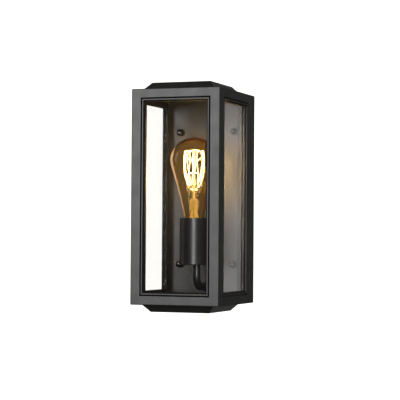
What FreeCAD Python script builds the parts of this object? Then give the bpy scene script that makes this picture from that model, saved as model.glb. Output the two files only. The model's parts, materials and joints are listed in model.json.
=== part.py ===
import FreeCAD, Part
import math
import os

# Outdoor wall lantern: a glazed cage that slides forward off a wall plate, round one screw-in lamp.
# Millimetres. Origin on the wall, at the middle of the frame's height. The wall is the plane y = 0,
# the lantern stands out of it towards -Y, +Z is up.

# Cage
FRAME_W = 124.0          # across, outside
FRAME_D = 141.0          # wall to front face
FRAME_H = 284.0          # height without the caps
WALL_GAP = 1.0           # cage's rear edge to the wall
POST_W = 13.5            # front posts, seen from the front
POST_D = 15.0             # front posts, seen from the side
BAR_H = 12.0             # top and bottom bars
FRONT_T = 3.0
SIDE_T = 2.5
PANEL_T = 3.0            # top and bottom panels
EDGE_R = 1.2             # outer edges of the casting
WINDOW_EDGE_R = 0.5      # outer edges of its windows

# Caps
CAP_INSET = 11.7         # foot of the slope, from the cage's front and sides
CAP_REAR = 26.7          # foot of the slope, from the wall
CAP_RUN = 9.2            # slope, in plan
CAP_H = 9.8
CAP_T = 2.0
CAP_EDGE_R = 0.6
CAP_SCREW_IN_X = 22.3    # screws, in from the cap's side feet
CAP_SCREW_IN_Y = 26.0    # screws, in from the cap's front and rear feet
CAP_SCREW_R = 1.5
CAP_BOSS_WALL = 2.1

# Glazing
GROOVE = 1.5             # open groove between the casting and a glazing frame
RIM_T = 2.0
RIM_EDGE_R = 0.5
FLANGE_T = 1.5
FLANGE_LAP = 4.0         # flange behind the casting's bars
SEAL_W = 2.0
SEAL_T = 1.6
SEAL_SET = 2.3           # seal's face behind the rim's face
GLASS_T = 3.0
GLASS_GAP = 0.4
BEAD_W = 1.6
BEAD_T = 1.5
FRAME_SCREW_R = 0.8
FRAME_SCREW_HEAD_R = 1.0
FRAME_SCREW_HEAD_H = 0.6
FRAME_SCREW_L = 5.0
FRAME_SCREW_DROP = 41.0  # below the top of the left window, above the foot of the right one

# Wall plate and its fixing
PLATE_FACE = 20.5        # wall to the plate's face
PLATE_T = 1.5
PLATE_BEND_R = 1.2       # outside of the sheet's bends
EDGE_GAP = 0.5           # plate to the inside of the cage
GASKET_T = 3.0
GASKET_W = 5.0
CAGE_SEAL_T = 1.8
CAGE_SEAL_D = 3.4
FLANGE_TO_SEAL = 0.1
BRACKET_T = 2.0
BRACKET_EDGE_X = 7.0     # bracket beyond the studs
BRACKET_EDGE_Z = 17.0
BRACKET_CORNER_R = 6.0
WALL_HOLE_X = 60.0       # spacing of the wall screws
WALL_HOLE_Z = 120.0
WALL_HOLE_R = 2.6
STUD_IN_X = 23.0         # studs, in from the cage's outside
STUD_IN_Z = 51.0
STUD_RISE = 1.2          # middle of the studs above the frame's mid-height
STUD_R = 2.5
STUD_END = 4.8           # stud in front of the nut's seat
STUD_CLEAR = 0.3
SPACER_WALL = 2.0
NUT_WALL = 2.4
NUT_BASE = 2.2
WASHER_T = 0.8
CAGE_SCREW_IN_X = 27.0   # cage screws, in from the cage's outside
CAGE_SCREW_Y = 10.0      # from the wall
CAGE_SCREW_R = 2.0
CAGE_SCREW_HEAD_R = 3.5
CAGE_SCREW_HEAD_H = 2.2
CAGE_SCREW_GAP = 0.15

# Supply side
ENTRY_R = 5.0            # cable bore of the grommet
GROMMET_WALL = 4.0
GROMMET_LIP = 2.5
GROMMET_LIP_T = 2.0
BLOCK_W = 32.0
BLOCK_H = 18.0
BLOCK_D = 12.0
BLOCK_Z = -43.0
POLE_PITCH = 10.0
POLE_SCREW_Z = 10.0      # spacing of the two screws of a pole
POLE_SCREW_R = 1.6
POLE_SCREW_L = 4.0
POLE_SET = 0.6
BLOCK_SCREW_R = 1.4
WIRE_R = 1.0
WIRE_HOLE_L = 5.0
EARTH_X = 30.0
EARTH_Z = 28.0
EARTH_SCREW_R = 2.0
TAG_L = 12.0

# Arm and lampholder, stacked upwards from the arm
ARM_ABOVE_FOOT = 22.0    # arm's level run above the frame's foot
ARM_UPRIGHT = 30.5       # from the level run up to the holder
ARM_BEND_R = 15.5
ARM_R = 5.0
ARM_WALL = 1.0
ARM_IN_HOLDER = 3.5
ARM_EDGE_GAP = 0.65      # arm to the inside of the holder's cup
ARM_PAST_NUT = 1.2
ARM_NUT_WALL = 3.1       # at the nut's corners
ARM_NUT_T = 3.0
ARM_COLLAR_WALL = 2.2
ARM_COLLAR_T = 2.4
HOLDER_WALL = 0.9
HOLDER_BASE_T = 1.5
HOLDER_FOOT_R = 1.0
HOLDER_LIP_R = 0.3
MOUTH_ABOVE_CAP = 2.8    # holder's mouth above the lamp's cap
LEG_H = 13.0
LEG_R = 3.0
LEG_X = 11.2
FLOOR_T = 13.0           # insulator below its contacts
INSULATOR_WALL = 3.45
INSULATOR_GAP = 0.4
INSULATOR_TOP = 5.0      # insulator's face below the holder's mouth
SHELL_T = 0.5
SHELL_CLEAR = 0.4        # screw shell to the lamp's cap
RING_SET = 1.5
CONTACT_T = 0.8
CONTACT_GAP = 0.3
PIP_H = 3.3
RIVET_R = 1.5
RIVET_X = 7.0
RIVET_Y = 5.0            # rivets behind the lamp axis
CLAMP = 7.0              # terminal clamp's side

# Lamp, a pear-shaped filament lamp with an E27 cap
BULB_LENGTH = 141.0
BULB_R = 32.0
BULB_LEAN = 15.9         # side of the pear, degrees from upright
BULB_WALL = 0.8
WAIST_RISE = 40.3        # foot of the straight side above the neck
CAP_R = 13.1
CAP_WALL = 0.4
CAP_SHELL_H = 24.0
CAP_FOOT_H = 2.2
GLASS_IN_CAP = 6.0
CEMENT = 0.1
NECK_SET = 0.5           # neck below the holder's mouth
TIP_R = 4.8
TIP_H = 1.6
TIP_BEVEL = 0.8
STEM_ROD_R = 1.6
PINCH_RISE = 26.5        # top of the pinch above the neck
PINCH_H = 13.0
PINCH_W = 12.6
PINCH_T = 4.0
BUTTON_R = 2.6
BUTTON_DROP = 2.5        # top button below the filament's top
BUTTON_BELOW = 4.0        # lower button below the filament's foot
LEAD_R = 0.4
LEAD_X = 4.0
COIL_R = 0.35
COIL_DROP = 19.9         # top of the filament below the crown
COIL_RISE = 18.5         # foot of the filament above the pinch
COIL_TOP_R = 14.6
COIL_FOOT_R = 9.0
COIL_LOOPS = 6
HOOK_R = 0.25
HOOK_GAP = 0.15

# Worked out
HALF_W = FRAME_W / 2
HALF_H = FRAME_H / 2
RIM_DEPTH = SEAL_SET + SEAL_T + GLASS_T + BEAD_T
REAR_POST_D = PLATE_FACE + EDGE_GAP + CAGE_SEAL_D + FLANGE_TO_SEAL + FLANGE_LAP
PLATE_HALF_W = HALF_W - SIDE_T - EDGE_GAP
PLATE_HALF_H = HALF_H - PANEL_T - EDGE_GAP
NUT_R = STUD_R + NUT_WALL
SHELL_R = CAP_R + SHELL_CLEAR + SHELL_T
HOLDER_IN_R = SHELL_R + INSULATOR_WALL + INSULATOR_GAP
HOLDER_R = HOLDER_IN_R + HOLDER_WALL
LAMP_Y = -FRAME_D / 2
ARM_Y = LAMP_Y + HOLDER_IN_R - ARM_R - ARM_EDGE_GAP
ARM_Z = -HALF_H + ARM_ABOVE_FOOT
ARM_END = -PLATE_FACE + PLATE_T + CONTACT_T + ARM_NUT_T + ARM_PAST_NUT
HOLDER_FOOT = ARM_Z + ARM_UPRIGHT
ARM_TOP = HOLDER_FOOT + ARM_IN_HOLDER
INSULATOR_FOOT = HOLDER_FOOT + HOLDER_BASE_T + LEG_H
FLOOR_Z = INSULATOR_FOOT + FLOOR_T
RIVET_AT = LAMP_Y + RIVET_Y
BULB_FOOT = FLOOR_Z + CONTACT_T + PIP_H + CONTACT_GAP
BULB_TOP = BULB_FOOT + BULB_LENGTH
TIP_TOP = BULB_FOOT + TIP_H
CAP_SHELL_FOOT = TIP_TOP + CAP_FOOT_H
CAP_SHELL_TOP = CAP_SHELL_FOOT + CAP_SHELL_H
HOLDER_TOP = CAP_SHELL_TOP + MOUTH_ABOVE_CAP
NECK_R = CAP_R - CAP_WALL - CEMENT
NECK_Z = HOLDER_TOP - NECK_SET
PINCH_TOP = NECK_Z + PINCH_RISE
COIL_TOP = BULB_TOP - COIL_DROP
COIL_FOOT = PINCH_TOP + COIL_RISE
TOP_BUTTON_Z = COIL_TOP - BUTTON_DROP
FOOT_BUTTON_Z = COIL_FOOT - BUTTON_BELOW
UP = FreeCAD.Vector(0, 0, 1)
TOLERANCE = 0.01


def box(x0, x1, y0, y1, z0, z1):
    return Part.makeBox(x1 - x0, y1 - y0, z1 - z0, FreeCAD.Vector(x0, y0, z0))


def rod(radius, start, end):
    start = FreeCAD.Vector(*start)
    along = FreeCAD.Vector(*end) - start
    return Part.makeCylinder(radius, along.Length, start, along)


def pipe(outer, inner, start, end):
    return rod(outer, start, end).cut(rod(inner, start, end))


def ball(radius, centre):
    return Part.makeSphere(radius, FreeCAD.Vector(*centre))


def fuse(shapes):
    joined = shapes[0]
    for shape in shapes[1:]:
        joined = joined.fuse(shape)
    return joined.removeSplitter()


def cut(shape, tools):
    for tool in tools:
        shape = shape.cut(tool)
    return shape


def group(shapes):
    return Part.makeCompound(shapes)


def turned(edges, x=0.0, y=0.0):
    """Solid of revolution about the upright line through x, y; edges lie in the XZ plane."""
    face = Part.Face(Part.Wire(Part.__sortEdges__(edges)))
    solid = face.revolve(FreeCAD.Vector(0, 0, 0), UP, 360)
    solid.translate(FreeCAD.Vector(x, y, 0))
    return solid


def outline(points):
    """Closed outline of straight edges through (radius, height) points."""
    corners = [FreeCAD.Vector(r, 0, z) for r, z in points]
    return [Part.makeLine(a, b) for a, b in zip(corners, corners[1:] + corners[:1])]


def rounded_route(points, radii):
    """Straight runs joined by tangent arcs, one radius for each corner."""
    points = [FreeCAD.Vector(*point) for point in points]
    edges = []
    start = points[0]
    for before, corner, after, radius in zip(points, points[1:], points[2:], radii):
        into = (before - corner).normalize()
        out = (after - corner).normalize()
        half = into.getAngle(out) / 2
        first = corner + into * (radius / math.tan(half))
        last = corner + out * (radius / math.tan(half))
        crest = corner + (into + out).normalize() * (radius / math.sin(half) - radius)
        edges.append(Part.makeLine(start, first))
        edges.append(Part.Arc(first, crest, last).toShape())
        start = last
    edges.append(Part.makeLine(start, points[-1]))
    return Part.Wire(edges)


def swept(route, radius):
    start = route.Edges[0].Vertexes[0].Point
    along = route.Edges[0].tangentAt(route.Edges[0].FirstParameter)
    ring = Part.Wire(Part.makeCircle(radius, start, along))
    return route.makePipeShell([ring], True, False)


def frustum(foot, crown, low, high):
    """Solid between two level rectangles (x0, x1, y0, y1)."""
    wires = []
    for (x0, x1, y0, y1), z in ((foot, low), (crown, high)):
        corners = [(x0, y0, z), (x1, y0, z), (x1, y1, z), (x0, y1, z), (x0, y0, z)]
        wires.append(Part.makePolygon([FreeCAD.Vector(*corner) for corner in corners]))
    return Part.makeLoft(wires, True, True)


# ---------------------------------------------------------------- cage

WINDOWS = {
    "front": (-HALF_W + POST_W, HALF_W - POST_W),
    "left": (-FRAME_D + POST_D, -REAR_POST_D),
    "right": (-FRAME_D + POST_D, -REAR_POST_D),
}
WINDOW_TOP = HALF_H - BAR_H
WALL_OF = {"front": FRONT_T, "left": SIDE_T, "right": SIDE_T}


def pane(side, grow, near, far):
    """Box over a window, its edges moved out by grow, from depth near to depth far."""
    low, high = WINDOWS[side]
    low, high, top = low - grow, high + grow, WINDOW_TOP + grow
    if side == "front":
        return box(low, high, -FRAME_D + near, -FRAME_D + far, -top, top)
    if side == "left":
        return box(-HALF_W + near, -HALF_W + far, low, high, -top, top)
    return box(HALF_W - far, HALF_W - near, low, high, -top, top)


def pane_ring(side, outer, inner, near, far):
    return pane(side, outer, near, far).cut(pane(side, inner, near, far))


def face_edges(shape, side, grow):
    """Edges on a side's outer face that lie within its window's outline moved out by grow."""
    skin = pane(side, grow, -TOLERANCE, TOLERANCE).BoundBox
    return [edge for edge in shape.Edges if skin.isInside(edge.BoundBox)]


def cap_rectangle(inset):
    return (-HALF_W + CAP_INSET + inset, HALF_W - CAP_INSET - inset,
            -FRAME_D + CAP_INSET + inset, -CAP_REAR - inset)


def cap_screw_places():
    side = HALF_W - CAP_INSET - CAP_SCREW_IN_X
    front = -FRAME_D + CAP_INSET + CAP_SCREW_IN_Y
    rear = -CAP_REAR - CAP_SCREW_IN_Y
    return [(x, y) for x in (-side, side) for y in (front, rear)]


def cage_screw_places():
    side = HALF_W - CAGE_SCREW_IN_X
    return [(x, -CAGE_SCREW_Y) for x in (-side, side)]


def frame_screw_place(side):
    """Sideways place and height of the small screw in a side window's rear edge."""
    z = WINDOW_TOP - FRAME_SCREW_DROP
    if side == "left":
        return -HALF_W + SIDE_T / 2, z
    return HALF_W - SIDE_T / 2, -z


def frame_screw(side):
    x, z = frame_screw_place(side)
    seat = WINDOWS[side][1] - GROOVE - RIM_T
    shank = rod(FRAME_SCREW_R, (x, seat, z), (x, seat + FRAME_SCREW_L, z))
    head = rod(FRAME_SCREW_HEAD_R, (x, seat - FRAME_SCREW_HEAD_H, z), (x, seat, z))
    return fuse([shank, head])


def cage_frame():
    outside = box(-HALF_W, HALF_W, -FRAME_D, -WALL_GAP, -HALF_H, HALF_H)
    outside = outside.makeFillet(EDGE_R, outside.Edges)
    inside = box(-HALF_W + SIDE_T, HALF_W - SIDE_T, -FRAME_D + FRONT_T, 0,
                 -HALF_H + PANEL_T, HALF_H - PANEL_T)
    frame = outside.cut(inside)
    frame = cut(frame, [pane(side, 0, -1, WALL_OF[side] + 1) for side in WINDOWS])
    edges = [edge for side in WINDOWS for edge in face_edges(frame, side, GROOVE / 2)]
    frame = frame.makeFillet(WINDOW_EDGE_R, edges)
    for x, y in cap_screw_places():
        frame = frame.cut(rod(CAP_SCREW_R, (x, y, -HALF_H - 1), (x, y, HALF_H + 1)))
    for x, y in cage_screw_places():
        frame = frame.cut(rod(CAGE_SCREW_R, (x, y, -HALF_H - 1), (x, y, HALF_H + 1)))
    return cut(frame, [frame_screw(side) for side in ("left", "right")])


def cap(sign):
    top = HALF_H + CAP_H
    body = frustum(cap_rectangle(0), cap_rectangle(CAP_RUN), HALF_H, top)
    crown = [edge for edge in body.Edges if edge.BoundBox.ZMax > HALF_H + 1]
    body = body.makeFillet(CAP_EDGE_R, crown)
    slope = CAP_T * math.hypot(CAP_RUN, CAP_H) / CAP_H
    roof = CAP_RUN * (CAP_H - CAP_T) / CAP_H
    hollow = frustum(cap_rectangle(slope), cap_rectangle(slope + roof), HALF_H, top - CAP_T)
    body = body.cut(hollow)
    for x, y in cap_screw_places():
        body = body.fuse(rod(CAP_SCREW_R + CAP_BOSS_WALL, (x, y, HALF_H), (x, y, top - CAP_T)))
    body = body.removeSplitter()
    for x, y in cap_screw_places():
        body = body.cut(rod(CAP_SCREW_R, (x, y, HALF_H - 1), (x, y, top - CAP_T)))
    return place_end(body, sign)


def place_end(shape, sign):
    """The bottom end is the top end mirrored in the mid-height plane."""
    if sign > 0:
        return shape
    return shape.mirror(FreeCAD.Vector(0, 0, 0), UP)


def pan_screw(x, y, radius, seat, length, head_r, head_h, sign):
    """Upright screw, its head on the level face at height seat; sign +1 points down."""
    shank = rod(radius, (x, y, seat), (x, y, seat - sign * length))
    head = rod(head_r, (x, y, seat), (x, y, seat + sign * head_h))
    return fuse([shank, head])


def cap_screws(sign):
    seat = HALF_H - PANEL_T
    length = PANEL_T + CAP_H - CAP_T
    screws = [pan_screw(x, y, CAP_SCREW_R, seat, length, 2 * CAP_SCREW_R, CAP_SCREW_R, -1)
              for x, y in cap_screw_places()]
    return place_end(group(screws), sign)


def cage_screws(sign):
    length = PANEL_T + EDGE_GAP - CAGE_SCREW_GAP
    screws = [pan_screw(x, y, CAGE_SCREW_R, HALF_H, length, CAGE_SCREW_HEAD_R, CAGE_SCREW_HEAD_H, 1)
              for x, y in cage_screw_places()]
    return place_end(group(screws), sign)


def glazing_frame(side):
    wall = WALL_OF[side]
    rim = pane_ring(side, -GROOVE, -GROOVE - RIM_T, 0, RIM_DEPTH)
    flange = pane_ring(side, FLANGE_LAP, -GROOVE - RIM_T, wall, wall + FLANGE_T)
    frame = fuse([rim, flange])
    frame = frame.makeFillet(RIM_EDGE_R, face_edges(frame, side, 0))
    if side == "front":
        return frame
    return frame.cut(frame_screw(side))


def glazing_seal(side):
    inner = -GROOVE - RIM_T
    return pane_ring(side, inner, inner - SEAL_W, SEAL_SET, SEAL_SET + SEAL_T)


def glass(side):
    near = SEAL_SET + SEAL_T
    return pane(side, -GROOVE - RIM_T - GLASS_GAP, near, near + GLASS_T)


def glazing_bead(side):
    inner = -GROOVE - RIM_T
    near = SEAL_SET + SEAL_T + GLASS_T
    return pane_ring(side, inner, inner - BEAD_W, near, RIM_DEPTH)


def cage_seal():
    """Weather strip stuck round the inside of the cage, in front of the plate's edge."""
    front = -PLATE_FACE - EDGE_GAP - CAGE_SEAL_D
    rear = -PLATE_FACE - EDGE_GAP
    width = HALF_W - SIDE_T
    height = HALF_H - PANEL_T
    outer = box(-width, width, front, rear, -height, height)
    width -= CAGE_SEAL_T
    height -= CAGE_SEAL_T
    return outer.cut(box(-width, width, front, rear, -height, height))


# ---------------------------------------------------------------- wall side

def stud_places():
    side = HALF_W - STUD_IN_X
    rise = HALF_H - STUD_IN_Z
    return [(x, STUD_RISE + z) for x in (-side, side) for z in (-rise, rise)]


def wall_gasket():
    outer = box(-PLATE_HALF_W, PLATE_HALF_W, -GASKET_T, 0, -PLATE_HALF_H, PLATE_HALF_H)
    width = PLATE_HALF_W - GASKET_W
    height = PLATE_HALF_H - GASKET_W
    return outer.cut(box(-width, width, -GASKET_T, 0, -height, height))


def wall_plate():
    outer = box(-PLATE_HALF_W, PLATE_HALF_W, -PLATE_FACE, -GASKET_T, -PLATE_HALF_H, PLATE_HALF_H)
    bends = [edge for edge in outer.Edges if edge.BoundBox.YMax < -PLATE_FACE + PLATE_T]
    outer = outer.makeFillet(PLATE_BEND_R, bends)
    width = PLATE_HALF_W - PLATE_T
    height = PLATE_HALF_H - PLATE_T
    plate = outer.cut(box(-width, width, -PLATE_FACE + PLATE_T, 0, -height, height))
    for x, z in stud_places():
        plate = plate.cut(rod(STUD_R + STUD_CLEAR, (x, -PLATE_FACE - 1, z), (x, 0, z)))
    return plate.cut(rod(ARM_R, (0, -PLATE_FACE - 1, ARM_Z), (0, 0, ARM_Z)))


def wall_bracket():
    half_w = HALF_W - STUD_IN_X + BRACKET_EDGE_X
    half_h = HALF_H - STUD_IN_Z + BRACKET_EDGE_Z
    plate = box(-half_w, half_w, -BRACKET_T, 0, -half_h, half_h)
    upright = [edge for edge in plate.Edges if edge.BoundBox.YLength > BRACKET_T / 2]
    plate = plate.makeFillet(BRACKET_CORNER_R, upright)
    for x in (-WALL_HOLE_X / 2, WALL_HOLE_X / 2):
        for z in (-WALL_HOLE_Z / 2, WALL_HOLE_Z / 2):
            plate = plate.cut(rod(WALL_HOLE_R, (x, -BRACKET_T, z), (x, 0, z)))
    entry = rod(ENTRY_R + GROMMET_WALL, (0, -BRACKET_T, 0), (0, 0, 0))
    earth = rod(EARTH_SCREW_R, (EARTH_X, -BRACKET_T, EARTH_Z), (EARTH_X, 0, EARTH_Z))
    fixing = rod(BLOCK_SCREW_R, (0, -BRACKET_T, BLOCK_Z), (0, 0, BLOCK_Z))
    return cut(plate, [entry, earth, fixing])


def bracket_studs():
    end = -PLATE_FACE - WASHER_T - STUD_END
    return group([rod(STUD_R, (x, -BRACKET_T, z), (x, end, z)) for x, z in stud_places()])


def spacer_tubes():
    inner = STUD_R + STUD_CLEAR
    outer = inner + SPACER_WALL
    seat = -PLATE_FACE + PLATE_T
    return group([pipe(outer, inner, (x, -BRACKET_T, z), (x, seat, z)) for x, z in stud_places()])


def nut_washers():
    seat = -PLATE_FACE
    return group([pipe(NUT_R, STUD_R, (x, seat, z), (x, seat - WASHER_T, z)) for x, z in stud_places()])


def dome_nut(x, z):
    seat = -PLATE_FACE - WASHER_T
    base = rod(NUT_R, (x, seat, z), (x, seat - NUT_BASE, z))
    dome = ball(NUT_R, (x, seat - NUT_BASE, z))
    dome = dome.common(rod(NUT_R + 1, (x, seat - NUT_BASE, z), (x, seat - NUT_BASE - NUT_R, z)))
    return fuse([base, dome]).cut(rod(STUD_R, (x, seat, z), (x, seat - STUD_END, z)))


def dome_nuts():
    return group([dome_nut(x, z) for x, z in stud_places()])


def cable_grommet():
    outer = ENTRY_R + GROMMET_WALL
    sleeve = rod(outer, (0, 0, 0), (0, -BRACKET_T, 0))
    lip_end = -BRACKET_T - GROMMET_LIP_T
    lip = rod(outer + GROMMET_LIP, (0, -BRACKET_T, 0), (0, lip_end, 0))
    return fuse([sleeve, lip]).cut(rod(ENTRY_R, (0, 0, 0), (0, lip_end, 0)))


def pole_places():
    return (-POLE_PITCH, 0.0, POLE_PITCH)


def pole_screw_places():
    return [(x, BLOCK_Z + z) for x in pole_places() for z in (-POLE_SCREW_Z / 2, POLE_SCREW_Z / 2)]


def terminal_screws():
    face = -BRACKET_T - BLOCK_D + POLE_SET
    return group([rod(POLE_SCREW_R, (x, face, z), (x, face + POLE_SCREW_L, z))
                  for x, z in pole_screw_places()])


def block_wire_y():
    return -BRACKET_T - BLOCK_D / 2 + POLE_SCREW_R


def terminal_block():
    face = -BRACKET_T - BLOCK_D
    z = BLOCK_Z
    block = box(-BLOCK_W / 2, BLOCK_W / 2, face, -BRACKET_T, z - BLOCK_H / 2, z + BLOCK_H / 2)
    for x, hole_z in pole_screw_places():
        end = face + POLE_SET + POLE_SCREW_L
        block = block.cut(rod(POLE_SCREW_R, (x, face, hole_z), (x, end, hole_z)))
    for x in pole_places():
        for sign in (-1, 1):
            mouth = z + sign * BLOCK_H / 2
            inner = mouth - sign * WIRE_HOLE_L
            block = block.cut(rod(WIRE_R, (x, block_wire_y(), mouth), (x, block_wire_y(), inner)))
    return block.cut(rod(BLOCK_SCREW_R, (0, face / 2, z), (0, -BRACKET_T, z)))


def block_screw():
    """Screw from behind the bracket; its head is the flat disc in the bracket's hole."""
    z = BLOCK_Z
    return rod(BLOCK_SCREW_R, (0, (-BRACKET_T - BLOCK_D) / 2, z), (0, 0, z))


def earth_tag():
    x, z = EARTH_X, EARTH_Z
    outer = 2 * EARTH_SCREW_R
    face = -BRACKET_T - CONTACT_T
    tag = rod(outer, (x, -BRACKET_T, z), (x, face, z))
    strip = box(x - EARTH_SCREW_R, x + EARTH_SCREW_R, face, -BRACKET_T, z - TAG_L, z)
    return fuse([tag, strip]).cut(rod(EARTH_SCREW_R, (x, -BRACKET_T, z), (x, face, z)))


def earth_screw():
    x, z = EARTH_X, EARTH_Z
    seat = -BRACKET_T - CONTACT_T
    shank = rod(EARTH_SCREW_R, (x, 0, z), (x, seat, z))
    return fuse([shank, rod(1.9 * EARTH_SCREW_R, (x, seat, z), (x, seat - EARTH_SCREW_R, z))])


# ---------------------------------------------------------------- arm, holder


def holder_arm():
    route = rounded_route([(0, ARM_END, ARM_Z), (0, ARM_Y, ARM_Z), (0, ARM_Y, ARM_TOP)], [ARM_BEND_R])
    return swept(route, ARM_R).cut(swept(route, ARM_R - ARM_WALL))


def hexagon(across_corners, thickness, y, z):
    corners = []
    for step in range(7):
        turn = math.radians(60 * step)
        corners.append(FreeCAD.Vector(across_corners * math.cos(turn), y,
                                      z + across_corners * math.sin(turn)))
    return Part.Face(Part.makePolygon(corners)).extrude(FreeCAD.Vector(0, thickness, 0))


def arm_locknut():
    seat = -PLATE_FACE + PLATE_T + CONTACT_T
    nut = hexagon(ARM_R + ARM_NUT_WALL, ARM_NUT_T, seat, ARM_Z)
    return nut.cut(rod(ARM_R, (0, seat, ARM_Z), (0, seat + ARM_NUT_T, ARM_Z)))


def arm_washer():
    seat = -PLATE_FACE + PLATE_T
    return pipe(ARM_R + ARM_NUT_WALL, ARM_R, (0, seat, ARM_Z), (0, seat + CONTACT_T, ARM_Z))


def arm_collar():
    outer = ARM_R + ARM_COLLAR_WALL
    return pipe(outer, ARM_R, (0, -PLATE_FACE, ARM_Z), (0, -PLATE_FACE - ARM_COLLAR_T, ARM_Z))


def holder_cup():
    floor = HOLDER_FOOT + HOLDER_BASE_T
    cup = rod(HOLDER_R, (0, LAMP_Y, HOLDER_FOOT), (0, LAMP_Y, HOLDER_TOP))
    foot = [edge for edge in cup.Edges if edge.BoundBox.ZMax < HOLDER_FOOT + 1]
    cup = cup.makeFillet(HOLDER_FOOT_R, foot)
    cup = cup.cut(rod(HOLDER_IN_R, (0, LAMP_Y, floor), (0, LAMP_Y, HOLDER_TOP)))
    cup = cup.makeFillet(HOLDER_LIP_R, [edge for edge in cup.Edges if edge.BoundBox.ZMin > HOLDER_TOP - 1])
    return cup.cut(rod(ARM_R, (0, ARM_Y, HOLDER_FOOT), (0, ARM_Y, floor)))


def holder_ring():
    high = HOLDER_TOP - RING_SET
    return pipe(HOLDER_IN_R, SHELL_R + INSULATOR_GAP, (0, LAMP_Y, high),
                (0, LAMP_Y, HOLDER_TOP - INSULATOR_TOP))


def lamp_insulator():
    face = HOLDER_TOP - INSULATOR_TOP
    body = rod(HOLDER_IN_R - INSULATOR_GAP, (0, LAMP_Y, INSULATOR_FOOT), (0, LAMP_Y, face))
    body = body.cut(rod(SHELL_R, (0, LAMP_Y, FLOOR_Z), (0, LAMP_Y, HOLDER_TOP)))
    leg_y = LAMP_Y - RIVET_Y
    legs = [rod(LEG_R, (x, leg_y, HOLDER_FOOT + HOLDER_BASE_T), (x, leg_y, INSULATOR_FOOT))
            for x in (-LEG_X, LEG_X)]
    body = fuse([body] + legs)
    return cut(body, [rod(RIVET_R, (x, RIVET_AT, INSULATOR_FOOT), (x, RIVET_AT, FLOOR_Z))
                      for x in (-RIVET_X, RIVET_X)])


def screw_shell():
    return pipe(SHELL_R, SHELL_R - SHELL_T, (0, LAMP_Y, FLOOR_Z + CONTACT_T),
                (0, LAMP_Y, HOLDER_TOP - INSULATOR_TOP - CONTACT_T))


def contact(x, strip, extra):
    """Strip on the insulator's floor, a rivet through it and a terminal clamp below."""
    rivet = rod(RIVET_R, (x, RIVET_AT, INSULATOR_FOOT), (x, RIVET_AT, FLOOR_Z))
    half = CLAMP / 2
    clamp = box(x - half, x + half, RIVET_AT - half, RIVET_AT + half,
                INSULATOR_FOOT - CLAMP, INSULATOR_FOOT)
    clamp = clamp.cut(rod(WIRE_R, (x, RIVET_AT, INSULATOR_FOOT - CLAMP),
                          (x, RIVET_AT, INSULATOR_FOOT - CLAMP / 2)))
    clamp = clamp.cut(clamp_screw(x))
    return fuse([strip, rivet, clamp] + extra)


def clamp_screw(x):
    half = CLAMP / 2
    face = RIVET_AT - half
    z = INSULATOR_FOOT - half
    shank = rod(RIVET_R, (x, face, z), (x, face + half - 1.5 * WIRE_R, z))
    return fuse([shank, rod(1.5 * RIVET_R, (x, face - RIVET_R, z), (x, face, z))])


def centre_contact():
    high = FLOOR_Z + CONTACT_T
    strip = box(-RIVET_X - 2, 2, RIVET_AT - RIVET_Y - 2, RIVET_AT + 2, FLOOR_Z, high)
    pip = rod(TIP_R / 2, (0, LAMP_Y, high), (0, LAMP_Y, BULB_FOOT - CONTACT_GAP))
    return contact(-RIVET_X, strip, [pip])


def side_contact():
    high = FLOOR_Z + CONTACT_T
    strip = box(RIVET_X - 2, RIVET_X + 2, LAMP_Y - 2, RIVET_AT + 2, FLOOR_Z, high)
    arm = box(RIVET_X, SHELL_R - 0.2, LAMP_Y - 2, LAMP_Y + 2, FLOOR_Z, high)
    return contact(RIVET_X, strip, [arm])


def clamp_screws():
    return group([clamp_screw(-RIVET_X), clamp_screw(RIVET_X)])


def lamp_wire(sign):
    """From the terminal block down behind the plate, through the arm, to a terminal clamp."""
    side = sign * (ARM_R - ARM_WALL) / 2.4
    over = INSULATOR_FOOT - CLAMP - 2.5 * WIRE_R
    down_y = block_wire_y()
    points = [
        (sign * POLE_PITCH, down_y, BLOCK_Z - BLOCK_H / 2 + WIRE_HOLE_L),
        (sign * POLE_PITCH, down_y, ARM_Z + 40),
        (side, down_y, ARM_Z + 20),
        (side, down_y, ARM_Z),
        (side, ARM_Y, ARM_Z),
        (side, ARM_Y, over),
        (sign * RIVET_X, RIVET_AT, over),
        (sign * RIVET_X, RIVET_AT, INSULATOR_FOOT - CLAMP / 2),
    ]
    return swept(rounded_route(points, [12, 12, 5, ARM_BEND_R, 2, 2]), WIRE_R)


def earth_wire():
    """From the block's middle pole up to the tag on the bracket."""
    down_y = block_wire_y()
    foot = EARTH_Z - TAG_L
    face_y = -BRACKET_T - CONTACT_T - WIRE_R
    points = [
        (0, down_y, BLOCK_Z + BLOCK_H / 2 - WIRE_HOLE_L),
        (0, down_y, BLOCK_Z + BLOCK_H / 2 + 6),
        (EARTH_X / 1.3, down_y, BLOCK_Z + BLOCK_H / 2 + 12),
        (EARTH_X, face_y, foot - 12),
        (EARTH_X, face_y, foot + 4),
    ]
    return swept(rounded_route(points, [4, 8, 6]), WIRE_R)


# ---------------------------------------------------------------- lamp


def tangent_arc(start, along, end):
    """Arc from start, leaving in the direction along, to end."""
    chord = end - start
    across = FreeCAD.Vector(-along.z, 0, along.x)
    radius = chord.Length ** 2 / (2 * chord.dot(across))
    centre = start + across * radius
    middle = (start - centre).normalize() + (end - centre).normalize()
    return Part.Arc(start, centre + middle.normalize() * abs(radius), end).toShape()


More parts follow.
